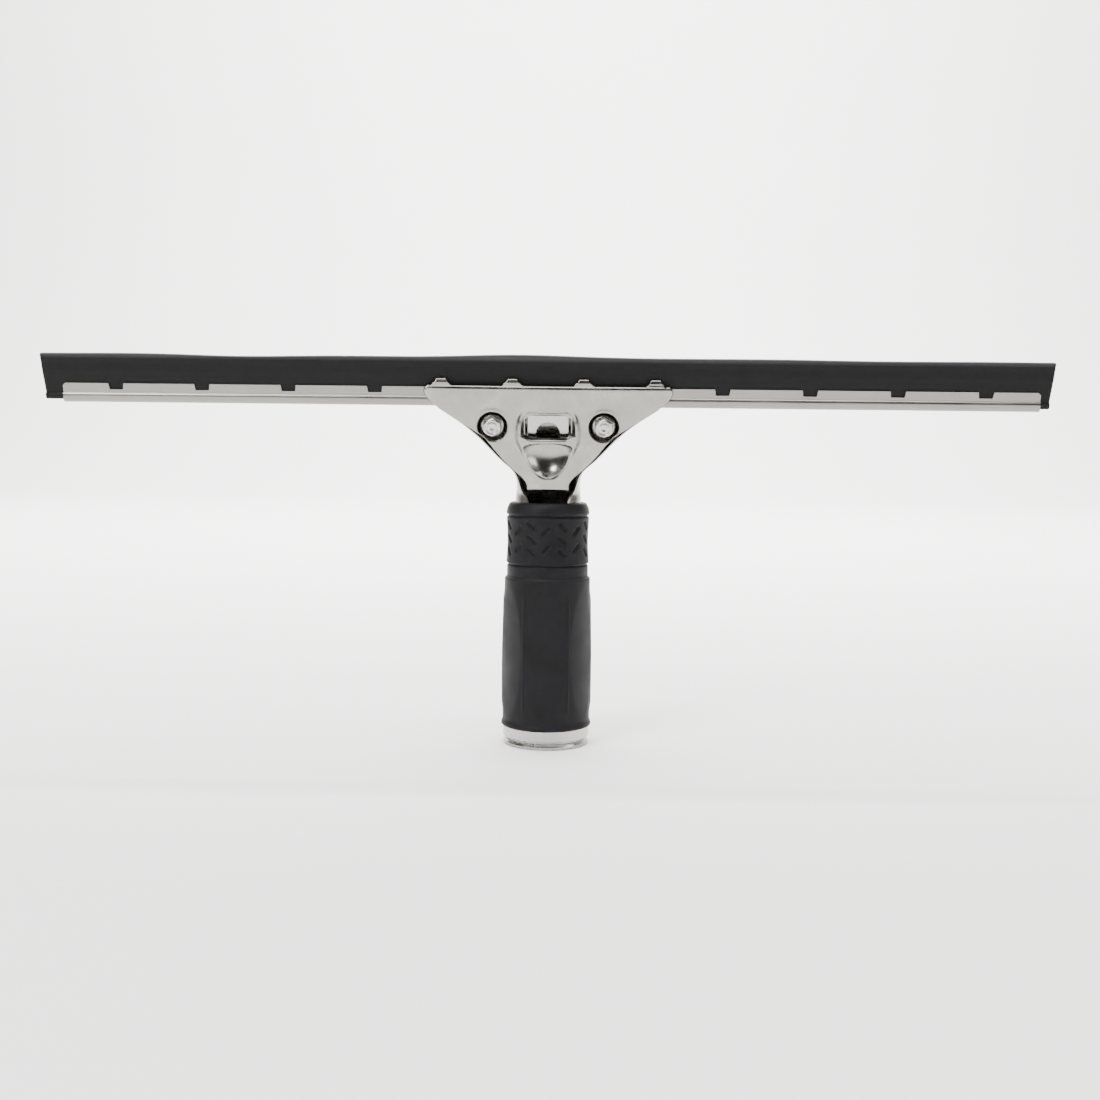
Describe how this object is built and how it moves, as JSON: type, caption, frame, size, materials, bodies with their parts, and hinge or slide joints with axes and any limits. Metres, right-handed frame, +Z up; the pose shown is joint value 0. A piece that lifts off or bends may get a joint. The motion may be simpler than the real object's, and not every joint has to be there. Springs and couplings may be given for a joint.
{
  "type": "window cleaning squeegee",
  "caption": "Hand squeegee: a forward-tilted metal clamp head holds a slide-in channel with a rubber wiping edge, on a rubber-gripped handle with a pole socket.",
  "frame": {"origin": "centre of the handle's mouth plane, on the pole socket's axis", "axes": "+Z up the handle towards the head, +X along the wiping blade, -Y out of the front where the bolt heads show"},
  "size_m": [0.458, 0.0491, 0.1821],
  "materials": {
    "polished_stainless": "softly polished stamped stainless sheet",
    "channel_steel": "satin drawn stainless strip",
    "spring_steel": "bright rolled spring strip",
    "fastener_steel": "bright zinc plated",
    "tube_aluminium": "mill finish",
    "ferrule_zinc": "turned and tumbled bright",
    "liner_nylon": "moulded, matte",
    "blade_rubber": "moulded soft rubber with a light dusting",
    "grip_rubber": "moulded soft rubber, fine matte grain"
  },
  "bodies": {
    "handle": {"handle_tube": "tube_aluminium", "mouth_ferrule": "ferrule_zinc", "socket_liner": "liner_nylon", "socket_plug": "liner_nylon", "grip_sleeve": "grip_rubber", "rear_plate": "polished_stainless", "bow_spring": "spring_steel", "left_jaw_bolt": "fastener_steel", "right_jaw_bolt": "fastener_steel", "left_spacer": "fastener_steel", "right_spacer": "fastener_steel", "left_washer": "fastener_steel", "right_washer": "fastener_steel", "left_lock_nut": "fastener_steel", "right_lock_nut": "fastener_steel", "left_neck_rivet": "fastener_steel", "right_neck_rivet": "fastener_steel"},
    "jaw": {"front_jaw": "polished_stainless"},
    "blade": {"channel": "channel_steel", "rubber_blade": "blade_rubber"}
  },
  "joints": [
    {"name": "jaw_rock", "type": "hinge", "parent": "handle", "child": "jaw", "pos_m": [0, -0.0195, 0.1511], "axis": [1, 0, 0], "range_deg": [0, 6], "stiffness_Nm_per_rad": 3, "springref_deg": -8.59, "deforming": ["bow_spring"]},
    {"name": "channel_slide", "type": "slide", "parent": "handle", "child": "blade", "axis": [1, 0, 0], "range_m": [-0.15, 0.15]}
  ]
}
